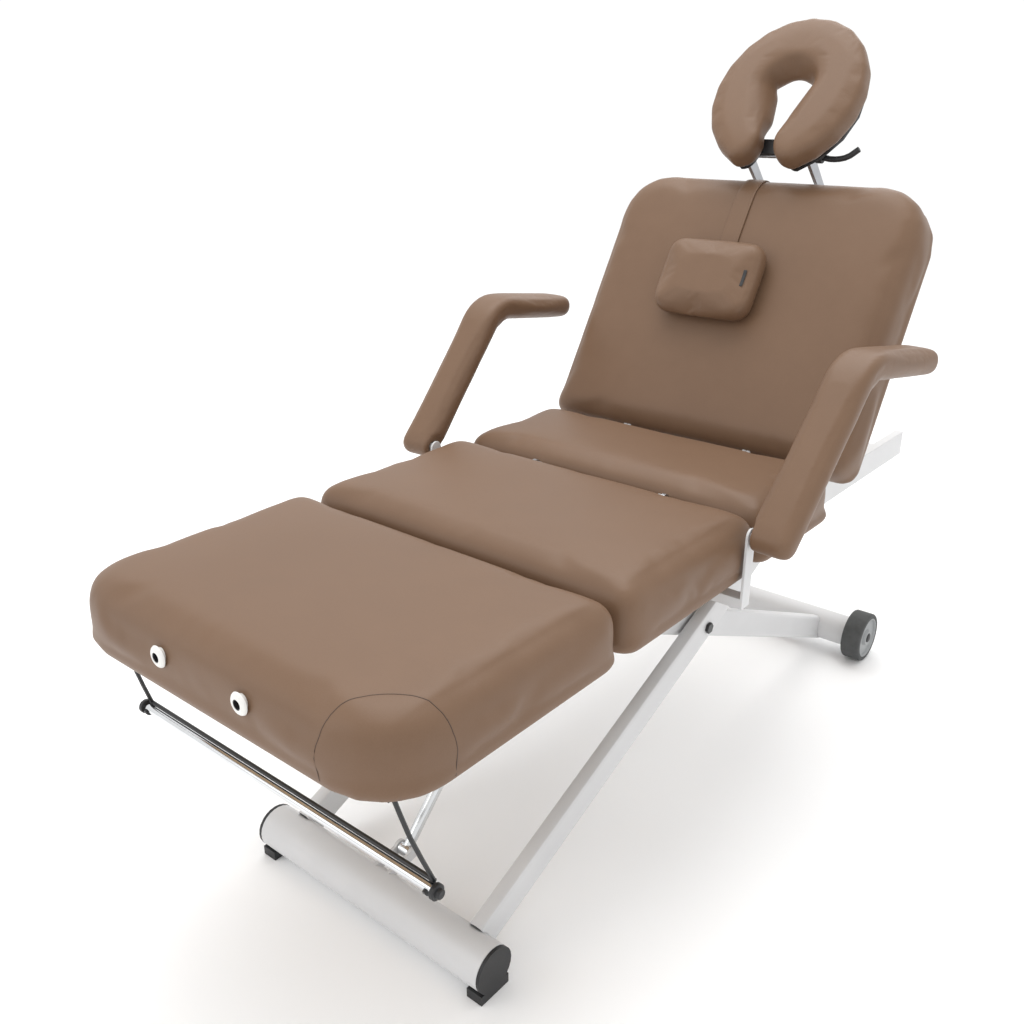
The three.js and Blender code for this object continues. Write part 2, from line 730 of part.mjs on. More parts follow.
function backRail(side) {
  const z1 = backRear - seatGap;
  const y0 = backRailStart;
  const y1 = backEnd - boardMargin;
  const x0 = side * backRailX;
  const x1 = side * (backRailX + backRailSize);
  const tube = beamY(x0, x1, y0, y1, z1 - backRailSize, z1, 4, armWall);
  return tube;
}

// The moving ears, the lower cross tube and the crank that the back actuator pushes.
function backLever() {
  const z1 = backRear - seatGap;
  const z0 = z1 - backRailSize;
  const inner = backRailX - seatGap;
  const tube = beamX(-inner, inner, backRailStart, backRailStart + backRailSize, z0, z1, 4, armWall);
  const ear = new THREE.Shape();
  ear.moveTo(backRailStart + 3, z0 + 4);
  ear.lineTo(backRailStart + backRailSize - 3, z0 + 4);
  ear.lineTo(backRailStart + backRailSize - 3, z1 - 4);
  ear.lineTo(earRadius, -6);
  ear.absarc(0, 0, earRadius, -0.4, Math.PI, false);
  ear.lineTo(-earRadius, -14);
  const bores = [-1, 1].map((side) => roundX(hingePin / 2 + seatGap, side * earX, side * (earX + 30),
      0, 0));
  const ears = clevisPlates(ear, earX + earThickness + runGap, earThickness);
  const crank = new THREE.Shape();
  crank.moveTo(backRailStart + 2, z0 + 12);
  crank.lineTo(-lugRadius, -crankLength + 4);
  crank.absarc(0, -crankLength, lugRadius, Math.PI, 2 * Math.PI, false);
  crank.lineTo(backRailStart + backRailSize - 4, z0 + 12);
  return cut(join(tube, ...ears, ...clevisPlates(crank, lugInner, lugThickness)), ...bores);
}

function backTopTube() {
  const z1 = backRear - seatGap;
  const inner = backRailX - seatGap;
  const y1 = backEnd - boardMargin;
  const tube = beamX(-inner, inner, y1 - backRailSize, y1, z1 - backRailSize, z1, 4, armWall);
  const sleeves = [-1, 1].map((side) => {
    const x = (side * postSpacing) / 2;
    return roundY(postDiameter / 2 + 4, y1 - sleeveLength, y1 + 8, x, postZ);
  });
  const bores = [-1, 1].map((side) => {
    const x = (side * postSpacing) / 2;
    return roundY(postDiameter / 2 + 0.6, y1 - sleeveLength - 1, y1 + 9, x, postZ);
  });
  return cut(join(tube, ...sleeves), ...bores);
}

function neckPillow() {
  const shape = roundedRect(pillowWidth, pillowLength, 34, 4);
  const edge = pillowDepth / 2 - 4;
  const pad = new THREE.ExtrudeGeometry(shape, {
    depth: pillowDepth - 2 * edge,
    bevelThickness: edge,
    bevelSize: edge,
    bevelOffset: -edge,
    bevelSegments: 3,
  });
  return pad.translate(pillowX, pillowY, backFront + strapThickness + 2 * seatGap + edge);
}

// The strap that the neck pillow hangs from: down the front, over the top and down behind the board.
function pillowStrap() {
  const reach = backEnd + seatGap;
  const front = backFront + seatGap;
  const rear = backRear - seatGap;
  const bend = cushionEdge;
  const outer = new THREE.Shape();
  const t = strapThickness;
  outer.moveTo(pillowY - pillowLength / 2 + 12, front);
  outer.lineTo(reach - bend, front);
  outer.absarc(reach - bend, front - bend, bend, Math.PI / 2, 0, true);
  outer.lineTo(reach, rear + bend);
  outer.absarc(reach - bend, rear + bend, bend, 0, -Math.PI / 2, true);
  outer.lineTo(strapTail, rear);
  outer.lineTo(strapTail, rear - t);
  outer.lineTo(reach - bend, rear - t);
  outer.absarc(reach - bend, rear + bend, bend + t, -Math.PI / 2, 0, false);
  outer.lineTo(reach + t, front - bend);
  outer.absarc(reach - bend, front - bend, bend + t, 0, Math.PI / 2, false);
  outer.lineTo(pillowY - pillowLength / 2 + 12, front + t);
  return plateX(outer, pillowX - strapWidth / 2, pillowX + strapWidth / 2);
}

// ---------- face cradle, in the frame of the back ----------
function cradlePosts() {
  const y1 = backEnd - boardMargin;
  const tipY = tiltY - 18;
  const posts = [-1, 1].map((side) => {
    const x = (side * postSpacing) / 2;
    return roundY(postDiameter / 2, y1 - sleeveLength + postStart, tipY, x, postZ);
  });
  const bridge = beamX(-postSpacing / 2 - 12, postSpacing / 2 + 12, tipY - 22, tipY - 2, postZ - 11,
      postZ + 11, 4);
  const upright = new THREE.Shape();
  upright.moveTo(tipY - 22, postZ - 9);
  upright.lineTo(tipY - 2, postZ - 9);
  upright.lineTo(tiltY + 13, tiltZ - 6);
  upright.absarc(tiltY, tiltZ, 14, -0.4, Math.PI, false);
  const shaft = roundX(tiltPin / 2, -tiltHalf - 12, tiltHalf + 12, tiltY, tiltZ);
  return join(...posts, bridge, ...clevisPlates(upright, tiltHalf - 8, 8), shaft);
}

function cradlePlatform() {
  const plate = new THREE.ExtrudeGeometry(cradleOutline(platformInset), { depth: 8,
      bevelEnabled: false, curveSegments: 8 });
  plate.translate(0, cradleCentre, cradleBase + 0.5);
  const ear = new THREE.Shape();
  ear.moveTo(-12, 0);
  ear.absarc(0, 0, 12, Math.PI, 2 * Math.PI, false);
  ear.lineTo(26, cradleBase + 4);
  ear.lineTo(-10, cradleBase + 4);
  const ears = clevisPlates(ear, tiltHalf + runGap, 7);
  const bridge = block(-bridgeHalf, bridgeHalf, -10, 26, cradleBase + 0.5, cradleBase + 8.5);
  const bores = [-1, 1].map((side) => roundX(tiltPin / 2 + seatGap, side * tiltHalf,
      side * (tiltHalf + 20), 0, 0));
  return cut(join(plate, bridge, ...ears), ...bores);
}

// A horseshoe: an oval with an arched opening that narrows towards its lower end.
function cradleOutline(inset) {
  const shape = new THREE.Shape();
  const wide = cradleWidth / 2 - inset;
  const high = cradleHeight / 2 - inset;
  const gap = openingHalf + inset;
  const arch = archRadius + inset;
  const lobeTop = -high * lobeTopShare;
  const lobeTip = [-wide * lobeTipShare, -high * Math.sqrt(1 - lobeTipShare ** 2)];
  const lobeAngle = Math.atan2(lobeTip[1] / high, lobeTip[0] / wide);
  shape.moveTo(gap, lobeTop);
  shape.absarc(0, archRise, arch, 0, Math.PI, false);
  shape.lineTo(-gap, lobeTop);
  shape.quadraticCurveTo(-gap - 4, lobeTip[1] - 2, ...lobeTip);
  shape.absellipse(0, 0, wide, high, lobeAngle + 2 * Math.PI, -Math.PI - lobeAngle, true);
  shape.quadraticCurveTo(gap + 4, lobeTip[1] - 2, gap, lobeTop);
  return shape;
}

function facePillow() {
  const bevel = 20;
  const pad = new THREE.ExtrudeGeometry(cradleOutline(0), {
    depth: cradleDepth - 2 * bevel,
    bevelThickness: bevel,
    bevelSize: bevel,
    bevelOffset: -bevel,
    bevelSegments: 3,
    curveSegments: 9,
  });
  return pad.translate(0, cradleCentre, cradleBase + 9 + seatGap + bevel);
}

function cradleLever() {
  const hub = roundX(leverHub, tiltHalf + 13, tiltHalf + 27, 0, 0);
  const route = new THREE.CatmullRomCurve3([
    new THREE.Vector3(tiltHalf + 20, 2, 0),
    new THREE.Vector3(tiltHalf + 46, -2, -3),
    new THREE.Vector3(tiltHalf + 78, 4, -3),
    new THREE.Vector3(tiltHalf + 102, 20, 4),
  ]);
  const section = new THREE.Shape().absarc(0, 0, 6.5, 0, 2 * Math.PI, false);
  const handle = new THREE.ExtrudeGeometry(section, { steps: 8, extrudePath: route, curveSegments: 5 });
  const bore = roundX(tiltPin / 2 + seatGap, tiltHalf, tiltHalf + 14 + seatGap, 0, 0);
  return cut(join(hub, handle), bore);
}

// ---------- armrests ----------
// A bent bar of constant depth with round ends, drawn in (y, z).
function bentBar(foot, bend, tip, radius, depth) {
  const a = new THREE.Vector2(...foot);
  const b = new THREE.Vector2(...bend);
  const c = new THREE.Vector2(...tip);
  const inDir = b.clone().sub(a).normalize();
  const outDir = c.clone().sub(b).normalize();
  const turn = Math.acos(inDir.dot(outDir));
  const tangent = radius * Math.tan(turn / 2);
  const rightIn = new THREE.Vector2(inDir.y, -inDir.x);
  const rightOut = new THREE.Vector2(outDir.y, -outDir.x);
  const centre = b.clone().addScaledVector(inDir, -tangent).addScaledVector(rightIn, radius);
  const startAngle = Math.atan2(-rightIn.y, -rightIn.x);
  const endAngle = Math.atan2(-rightOut.y, -rightOut.x);
  const half = depth / 2;
  const shape = new THREE.Shape();
  shape.absarc(centre.x, centre.y, radius + half, startAngle, endAngle, true);
  shape.absarc(c.x, c.y, half, endAngle, endAngle - Math.PI, true);
  shape.absarc(centre.x, centre.y, radius - half, endAngle, startAngle, false);
  shape.absarc(a.x, a.y, half, startAngle - Math.PI, startAngle - 2 * Math.PI, true);
  return shape;
}

function armrest(side) {
  const local = ([y, z]) => [y - armrestFoot[0], z - armrestFoot[1]];
  const shape = bentBar(local(armrestFoot), local(armrestBend), local(armrestTip), armrestBendRadius,
      armrestDepth);
  const bevel = armrestDepth / 2 - 8;
  const inner = side * (halfCushion + armrestGap);
  const outer = side * (halfCushion + armrestGap + armrestWidth);
  const pad = plateX(shape, ...ordered(inner, outer), bevel, 4);
  pad.translate(-inner, 0, 0).rotateZ(-side * armrestSplay).translate(inner, 0, 0);
  const bore = roundX(armrestPin / 2 + runGap, inner - side * 10,
      inner + side * (armrestPinReach + 3), 0, 0);
  const recess = roundX(armrestDepth / 2 + runGap, inner - side * 10, inner + side * armrestRecess,
      0, 0, 24);
  return cut(pad, recess, bore).translate(0, armrestFoot[0], armrestFoot[1]);
}

function armrestBracket(side) {
  const [y, z] = armrestFoot;
  const face = halfCushion + 2;
  const low = railZ - 12;
  const arm = block(side * (railOuterFace + seatGap), side * (face + 1), y - bracketWidth / 2,
      y + bracketWidth / 2, low, low + 20);
  const shape = new THREE.Shape();
  shape.moveTo(y - bracketWidth / 2, low);
  shape.lineTo(y + bracketWidth / 2, low);
  shape.lineTo(y + bracketWidth / 2, z);
  shape.absarc(y, z, bracketWidth / 2, 0, Math.PI, false);
  const plate = plateX(shape, side * face, side * (face + bracketThickness));
  const pinEnd = halfCushion + armrestGap + armrestPinReach;
  const pin = roundX(armrestPin / 2, side * (face + 1), side * pinEnd, y, z);
  return join(arm, plate, pin);
}

// ---------- roll holder ----------
function holderFrame() {
  const z1 = boardZ - seatGap;
  const half = rodLength / 2 - 6;
  const inset = 26;
  const r = wireDiameter / 2;
  const route = (side) => new THREE.CatmullRomCurve3([
    new THREE.Vector3(side * (half - inset), holderTopY, z1 - 3),
    new THREE.Vector3(side * (half - inset / 2), (holderTopY + rodY) / 2, (z1 + rodZ) / 2),
    new THREE.Vector3(side * half, rodY + barBehindRod, rodZ + barAboveRod),
  ]);
  const section = () => new THREE.Shape().absarc(0, 0, r, 0, 2 * Math.PI, false);
  const wire = (side) => new THREE.ExtrudeGeometry(section(), { steps: 4, extrudePath: route(side),
      curveSegments: 4 });
  const bar = roundX(r, -half - 2, half + 2, rodY + barBehindRod, rodZ + barAboveRod, 12);
  const feet = [-1, 1].map((side) => {
    const x = side * (half - inset);
    return block(x - 14, x + 14, holderTopY - 16, holderTopY + 16, z1 - 6, z1);
  });
  const hooks = [-1, 1].map((side) => {
    const x0 = side * (half - 5);
    const plate = new THREE.Shape();
    plate.moveTo(rodY + barBehindRod + 2, rodZ + barAboveRod + 2);
    plate.lineTo(rodY - rodDiameter / 2 - 4, rodZ);
    plate.absarc(rodY, rodZ, rodDiameter / 2 + 4, Math.PI, 2 * Math.PI, false);
    return plateX(plate, ...ordered(x0, side * half));
  });
  const bores = [-1, 1].map((side) => roundX(rodDiameter / 2 + 0.6, side * (half - 20),
      side * (half + 20), rodY, rodZ));
  return cut(join(bar, wire(-1), wire(1), ...feet, ...hooks), ...bores);
}

// The roll bar with the knob at each end.
function holderRod() {
  const half = rodLength / 2;
  const knobs = [-1, 1].flatMap((side) => [
    roundX(knobDiameter / 2, side * half, side * (half + 8), rodY, rodZ),
    roundX(knobDiameter / 2 - 4, side * (half + 7), side * (half + 14), rodY, rodZ),
  ]);
  return join(roundX(rodDiameter / 2, -half - 1, half + 1, rodY, rodZ), ...knobs);
}

// ---------- actuators: the rod's eye is at the origin and the axis runs along +Y ----------
function eyeBlock(y, width) {
  return roundX(eyeRadius, -width / 2, width / 2, y, 0);
}

function actuatorRod(length) {
  const width = 2 * (lugInner - runGap);
  return join(eyeBlock(0, width), roundY(rodRadius, 4, length, 0, 0));
}

function actuatorHousing(start, end, motorSide) {
  const width = 2 * (lugInner - runGap);
  const tube = roundY(housingRadius, start, end - 34, 0, 0);
  const neck = roundY(eyeRadius - 1, end - 36, end - 2, 0, 0);
  const motor = roundY(motorRadius, end - 158, end - 42, 0,
      motorSide * (housingRadius + motorRadius - 4));
  const gearbox = block(
    -motorRadius, motorRadius, end - 64, end - 30, ...ordered(-motorSide * 18,
        motorSide * (housingRadius + motorRadius + 16)),
  );
  const bore = roundY(rodRadius + 1, start - 1, end - 60, 0, 0);
  return cut(join(tube, neck, motor, gearbox, eyeBlock(end, width)), bore);
}

function strutCylinder(length) {
  const tube = roundY(strutRadius, 12, length * 0.58, 0, 0);
  const bore = roundY(strutRadius * 0.45 + 1, 30, length * 0.58 + 1, 0, 0, 16);
  return cut(join(roundX(strutRadius, -4, 4, 0, 0), block(-3, 3, 0, 14, -5, 5), tube), bore);
}

function strutRod(length) {
  const rod = roundY(strutRadius * 0.45, length * 0.34, length - 4, 0, 0, 16);
  return join(rod, roundX(strutRadius, -4, 4, length, 0));
}

// ---------- assembly ----------
function turned(y, z, angle) {
  return [y * Math.cos(angle) - z * Math.sin(angle), y * Math.sin(angle) + z * Math.cos(angle)];
}

// Length and direction from one point in (y, z) to another.
function reach(from, to) {
  return { length: Math.hypot(to[0] - from[0], to[1] - from[1]), angle: Math.atan2(to[1] - from[1],
      to[0] - from[0]) };
}

const plus = (a, b) => [a[0] + b[0], a[1] + b[1]];
const sides = [["left", 1], ["right", -1]];
const both = (name, make, look) => sides.map(([word, side]) => part(`${name}_${word}`, make(side), look));

const feet = groupAt(0, 0, 0, ...both("foot_cap", footCap, blackPlastic));

const outerFrame = groupAt(
  0, tubeHeight, liftAngle,
  part("front_tube", frontTube(), paint),
  ...both("outer_arm", outerArm, paint),
  ...both("rail_roller", railRoller, greyPlastic),
);

const innerFrame = groupAt(
  boltY, boltZ, -liftAngle,
  ...both("inner_arm", innerArm, paint),
  part("rear_tube", rearTube(), paint),
  part("inner_crossbar", innerCrossbar(), paint),
  ...both("scissor_bolt", scissorBolt, steel),
  ...both("wheel_hub", wheelHub, greyPlastic),
  ...both("wheel_tyre", wheelTyre, tyreRubber),
);

const topFrame = groupAt(
  0, 0, 0,
  ...both("rail", rail, paint),
  part("front_cross", crossTube(frontCrossY), paint),
  part("thigh_cross", thighCross(), paint),
  part("hinge_cross", hingeCross(), paint),
  part("rear_cross", rearCross(), paint),
  part("seat_board", seatBoard(), plywood),
  part("seat_cushion", seatCushion(), vinyl),
  ...both("armrest_bracket", armrestBracket, paint),
);

const legAndThigh = groupAt(
  0, 0, 0,
  part("thigh_board", thighBoard(), plywood),
  part("thigh_cushion", thighCushion(), vinyl),
  ...both("thigh_arm", thighArm, steel),
  part("knee_leaf_rear", hingeLeaf(1, 1), steel),
  part("knee_leaf_front", hingeLeaf(-1, 0), steel),
  part("leg_board", legBoard(), plywood),
  part("leg_cushion", legCushion(), vinyl),
  ...both("grommet", grommet, whitePlastic),
  part("holder_frame", holderFrame(), blackPlastic),
  part("holder_rod", holderRod(), chrome),
);

const cradleHead = groupAt(
  tiltY, tiltZ, cradleTilt,
  part("cradle_platform", cradlePlatform(), blackPlastic),
  part("face_pillow", facePillow(), vinyl),
  part("cradle_lever", cradleLever(), blackPlastic),
);

const back = groupAt(
  backHingeY, hingeZ, backAngle,
  ...both("back_rail", backRail, paint),
  part("back_lever", backLever(), paint),
  part("back_top_tube", backTopTube(), paint),
  part("back_board", backBoard(), plywood),
  part("back_cushion", backCushion(), vinyl),
  part("pillow_strap", pillowStrap(), vinyl),
  part("neck_pillow", neckPillow(), vinyl),
  part("cradle_posts", cradlePosts(), steel),
  cradleHead,
);

const armrests = groupAt(0, 0, 0, ...both("armrest", armrest, vinyl));

const liftPin = plus([0, tubeHeight], turned(liftPinAlong, liftPinOut, liftAngle));
const liftEye = plus([boltY, boltZ], turned(-innerCrossbarAt, -innerLugDrop, -liftAngle));
const lift = reach(liftPin, liftEye);
const liftActuator = groupAt(
  ...liftPin, lift.angle,
  part("lift_rod", actuatorRod(lift.length * liftRodShare), steel),
  part("lift_housing", actuatorHousing(lift.length * liftHousingFrom, lift.length, -1), greyPlastic),
);

const backPin = [thighCrossY, railZ - actuatorDrop];
const backEye = plus([backHingeY, hingeZ], turned(0, -crankLength, backAngle));
const push = reach(backEye, backPin);
const backActuator = groupAt(
  ...backEye, push.angle,
  part("back_rod", actuatorRod(push.length * backRodShare), steel),
  part("back_housing", actuatorHousing(push.length * backHousingFrom, push.length, 1), greyPlastic),
);

const strutBase = [hingeCrossY - crossDepth / 2 - strutRadius - 6, railZ + strutRise];
const strutEnd = [thighHingeY, railZ + strutRise];
const strut = reach(strutBase, strutEnd);
const kneeStrut = groupAt(
  ...strutBase, strut.angle,
  part("strut_cylinder", strutCylinder(strut.length), blackPlastic),
  part("strut_rod", strutRod(strut.length), steel),
);
kneeStrut.position.x = strutX;

const bed = new THREE.Group();
bed.add(feet, outerFrame, innerFrame, topFrame, legAndThigh, back, armrests, liftActuator,
    backActuator, kneeStrut);

// The origin is on the floor, under the middle of the bed's length.
const extent = new THREE.Box3().setFromObject(bed, true);
bed.position.y = -(extent.min.y + extent.max.y) / 2;

export default bed;
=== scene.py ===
import json
import math

import bmesh
import bpy
from mathutils import Matrix, Vector
from mathutils.bvhtree import BVHTree


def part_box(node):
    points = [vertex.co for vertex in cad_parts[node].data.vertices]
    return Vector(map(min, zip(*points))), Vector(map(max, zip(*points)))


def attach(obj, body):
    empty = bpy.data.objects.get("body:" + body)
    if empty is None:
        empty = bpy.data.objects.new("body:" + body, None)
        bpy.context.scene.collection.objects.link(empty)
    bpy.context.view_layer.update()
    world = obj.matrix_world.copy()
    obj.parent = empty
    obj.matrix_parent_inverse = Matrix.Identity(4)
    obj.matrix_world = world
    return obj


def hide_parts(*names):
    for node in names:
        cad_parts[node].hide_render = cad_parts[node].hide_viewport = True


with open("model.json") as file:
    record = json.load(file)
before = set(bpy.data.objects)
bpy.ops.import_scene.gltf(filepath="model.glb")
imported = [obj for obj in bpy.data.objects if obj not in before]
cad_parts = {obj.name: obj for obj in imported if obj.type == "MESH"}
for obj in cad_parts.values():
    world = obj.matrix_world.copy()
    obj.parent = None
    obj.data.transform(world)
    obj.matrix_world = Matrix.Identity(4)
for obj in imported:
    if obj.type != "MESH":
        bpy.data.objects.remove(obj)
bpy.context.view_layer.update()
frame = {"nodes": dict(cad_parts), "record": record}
NODES = frame["nodes"]
JOINTS = {joint["name"]: joint for joint in frame["record"]["behaviour"]["joints"]}
BODY_OF = {node: body for body, nodes in frame["record"]["behaviour"]["bodies"].items() for node in nodes}
SLOT_OF = {part["node"]: part["material_slot"] for part in frame["record"]["subparts"]}

# lengths are in metres
MERGE = 0.00002  # points closer than this are one point
FLAT = math.radians(0.6)  # faces within this angle are one face
PAD_VOXEL = 0.0075  # remesh sizes
PILLOW_VOXEL = 0.0045
ARM_VOXEL = 0.004
CROWN = 0.010  # how far a bed pad's face domes
UNDER_BOARD = 0.0028  # how far a pad's underside is lifted, so that its board shows
TUCK = 0.011  # how far a bed pad's lower edge is drawn in
HELD_RIM = 0.008  # the height of the lower edge that smoothing leaves alone
HELD_RISE = 0.040  # the height over which smoothing comes in above it
SOFTENING = 15  # smoothing passes that round a bed pad's edges
PULL_IN = 0.003  # how far a bed pad's side pulls in between its corners
CRADLE_LEAN = math.radians(5.6)  # the face pillow's angle to the backrest


# ---------------------------------------------------------------- shader sockets

class Socket:
    """A shader value that adds its own Math nodes when it is used in an expression."""

    def __init__(self, paint, out):
        self.paint = paint
        self.out = out

    def _math(self, kind, a, b):
        return self.paint.node("ShaderNodeMath", {"operation": kind}, {0: a, 1: b})

    def __add__(self, other):
        return self._math("ADD", self, other)

    def __mul__(self, other):
        return self._math("MULTIPLY", self, other)

    __radd__ = __add__
    __rmul__ = __mul__


class Paint:
    """One material's node tree, with its Principled shader."""

    def __init__(self, name, **constants):
        self.material = bpy.data.materials.new(name)
        self.material.use_nodes = True
        self.tree = self.material.node_tree
        self.shader = self.tree.nodes["Principled BSDF"]
        for socket, value in constants.items():
            self.shader.inputs[socket.replace("_", " ")].default_value = value
        self.place = self.node("ShaderNodeTexCoord", {}, {}, "Object")

    def node(self, kind, settings, values, output=0):
        made = self.tree.nodes.new(kind)
        for key, value in settings.items():
            setattr(made, key, value)
        for key, value in values.items():
            if isinstance(value, Socket):
                self.tree.links.new(value.out, made.inputs[key])
            else:
                made.inputs[key].default_value = value
        return Socket(self, made.outputs[output])

    def noise(self, scale, detail=2.0, roughness=0.5, where=None):
        return self.node("ShaderNodeTexNoise", {},
                         {"Vector": where or self.place, "Scale": scale, "Detail": detail,
                          "Roughness": roughness})

    def mix(self, amount, first, second):
        made = self.tree.nodes.new("ShaderNodeMix")
        made.data_type = "RGBA"
        for index, value in ((0, amount), (6, first), (7, second)):
            if isinstance(value, Socket):
                self.tree.links.new(value.out, made.inputs[index])
            else:
                made.inputs[index].default_value = value if index == 0 else (*value, 1)
        return Socket(self, made.outputs[2])

    def ramp(self, value, low, high):
        return self.node("ShaderNodeMapRange", {}, {"Value": value, "From Min": low, "From Max": high})

    def finish(self, colour=None, roughness=None, bump=None, strength=0.2, distance=0.001):
        for socket, value in (("Base Color", colour), ("Roughness", roughness)):
            if value is not None:
                self.tree.links.new(value.out, self.shader.inputs[socket])
        if bump is not None:
            normal = self.node("ShaderNodeBump", {}, {"Height": bump, "Strength": strength,
                                                      "Distance": distance}, "Normal")
            self.tree.links.new(normal.out, self.shader.inputs["Normal"])
        return self.material


# ---------------------------------------------------------------- finishes

def upholstery_vinyl(name="upholstery_vinyl", light=(0.176, 0.103, 0.061), dark=(0.157, 0.090, 0.052)):
    paint = Paint(name, Specular_IOR_Level=0.33)
    cells = paint.node("ShaderNodeTexVoronoi", {"feature": "SMOOTH_F1"},
                       {"Vector": paint.place, "Scale": 620.0, "Smoothness": 0.6})
    pores = paint.noise(1500.0, 2.0)
    creases = paint.noise(26.0, 4.0, 0.55)
    drape = paint.noise(3.5, 2.0)
    wear = paint.ramp(creases * 0.4 + drape * 0.6, 0.3, 0.7)
    colour = paint.mix(wear, dark, light)
    colour = paint.mix(paint.ramp(cells, 0.25, 0.75) * 0.12, colour, (0.215, 0.132, 0.085))
    height = cells * 0.5 + pores * 0.2 + creases * 0.25
    return paint.finish(colour, 0.42 + creases * 0.08, height, 0.14, 0.0009)


def powder_coat():
    paint = Paint("powder_coat", Specular_IOR_Level=0.5)
    peel = paint.noise(520.0, 2.0)
    tone = paint.noise(7.0, 3.0)
    colour = paint.mix(paint.ramp(tone, 0.3, 0.7), (0.60, 0.60, 0.605), (0.64, 0.64, 0.645))
    return paint.finish(colour, 0.32 + peel * 0.14, peel, 0.09, 0.0006)


def moulded(name, low, high, rough=0.42):
    paint = Paint(name)
    grain = paint.noise(900.0, 2.0)
    tone = paint.noise(14.0, 3.0)
    colour = paint.mix(paint.ramp(tone, 0.3, 0.7), low, high)
    return paint.finish(colour, rough + grain * 0.16, grain, 0.12, 0.0005)


def tyre_rubber():
    paint = Paint("tyre_rubber", Specular_IOR_Level=0.35)
    dust = paint.noise(45.0, 5.0, 0.6)
    grain = paint.noise(800.0, 2.0)
    colour = paint.mix(paint.ramp(dust, 0.35, 0.7), (0.060, 0.062, 0.062), (0.085, 0.087, 0.087))
    return paint.finish(colour, 0.6 + dust * 0.2, grain * 0.6 + dust * 0.4, 0.2, 0.0006)


def bright_metal(name, base, rough, run):
    paint = Paint(name, Metallic=1.0)
    stretched = paint.node("ShaderNodeMapping", {}, {"Vector": paint.place, "Scale": run})
    lines = paint.noise(30.0, 3.0, 0.6, stretched)
    smudge = paint.noise(18.0, 3.0)
    lifted = tuple(min(1.0, channel * 1.12) for channel in base)
    colour = paint.mix(paint.ramp(smudge, 0.3, 0.7), base, lifted)
    return paint.finish(colour, rough + lines * 0.12, lines, 0.05, 0.0003)


def birch_ply():
    paint = Paint("birch_ply")
    stretched = paint.node("ShaderNodeMapping", {}, {"Vector": paint.place, "Scale": (18.0, 1.5, 18.0)})
    grain = paint.noise(6.0, 5.0, 0.6, stretched)
    layers = paint.node("ShaderNodeTexWave", {"bands_direction": "Z"},
                        {"Vector": paint.place, "Scale": 95.0, "Distortion": 0.6}, "Fac")
    colour = paint.mix(paint.ramp(grain, 0.3, 0.7), (0.36, 0.24, 0.13), (0.56, 0.41, 0.25))
    colour = paint.mix(layers * 0.25, colour, (0.22, 0.13, 0.07))
    return paint.finish(colour, 0.5 + grain * 0.2, grain, 0.1, 0.0006)


FINISH = {
    "white_frame": powder_coat(),
    "vinyl": upholstery_vinyl(),
    "plywood": birch_ply(),
    "black_plastic": moulded("black_plastic", (0.012, 0.012, 0.013), (0.022, 0.022, 0.024)),
    "black_wire": moulded("black_wire", (0.010, 0.010, 0.011), (0.020, 0.020, 0.021), 0.28),
    "tyre": tyre_rubber(),
    "grey_plastic": moulded("grey_plastic", (0.26, 0.27, 0.275), (0.34, 0.35, 0.355)),
    "white_plastic": moulded("white_plastic", (0.72, 0.71, 0.68), (0.82, 0.81, 0.78), 0.26),
    "chrome": bright_metal("chrome_plate", (0.66, 0.67, 0.68), 0.08, (60.0, 1.0, 60.0)),
    "steel": bright_metal("zinc_steel", (0.42, 0.43, 0.45), 0.30, (1.0, 40.0, 40.0)),
    "black_paint": moulded("black_paint", (0.010, 0.010, 0.011), (0.018, 0.018, 0.019), 0.22),
    # painted shadow: a dark colour for the shade that falls in a sewn seam
    "painted_seam_shadow": moulded("seam_shadow", (0.060, 0.034, 0.022), (0.085, 0.05, 0.033), 0.6),
}


# ---------------------------------------------------------------- handling meshes

def pick(piece):
    if bpy.context.mode != "OBJECT":
        bpy.ops.object.mode_set(mode="OBJECT")
    bpy.ops.object.select_all(action="DESELECT")
    for other in bpy.context.selected_objects:
        other.select_set(False)
    piece.select_set(True)
    bpy.context.view_layer.objects.active = piece


def copy_of(node, name):
    mesh = NODES[node].data.copy()
    mesh.materials.clear()
    piece = bpy.data.objects.new(name, mesh)
    bpy.context.scene.collection.objects.link(piece)
    pick(piece)
    if mesh.has_custom_normals:
        bpy.ops.mesh.customdata_custom_splitnormals_clear()
    bpy.ops.object.mode_set(mode="EDIT")
    bpy.ops.mesh.select_all(action="SELECT")
    bpy.ops.mesh.remove_doubles(threshold=MERGE)
    bpy.ops.object.mode_set(mode="OBJECT")
    return piece


def apply_modifier(piece, kind, **settings):
    pick(piece)
    modifier = piece.modifiers.new("step", kind)
    for key, value in settings.items():
        setattr(modifier, key, value)
    bpy.ops.object.modifier_apply(modifier=modifier.name)


def done(piece, body, slot, finish=None, replaced=()):
    piece.data.materials.clear()
    piece.data.materials.append(FINISH[finish or slot])
    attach(piece, body)
    if replaced:
        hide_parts(*replaced)
    return piece


def smooth(piece, degrees=180):
    pick(piece)
    if degrees >= 180:
        bpy.ops.object.shade_smooth()
    else:
        bpy.ops.object.shade_smooth_by_angle(angle=math.radians(degrees))


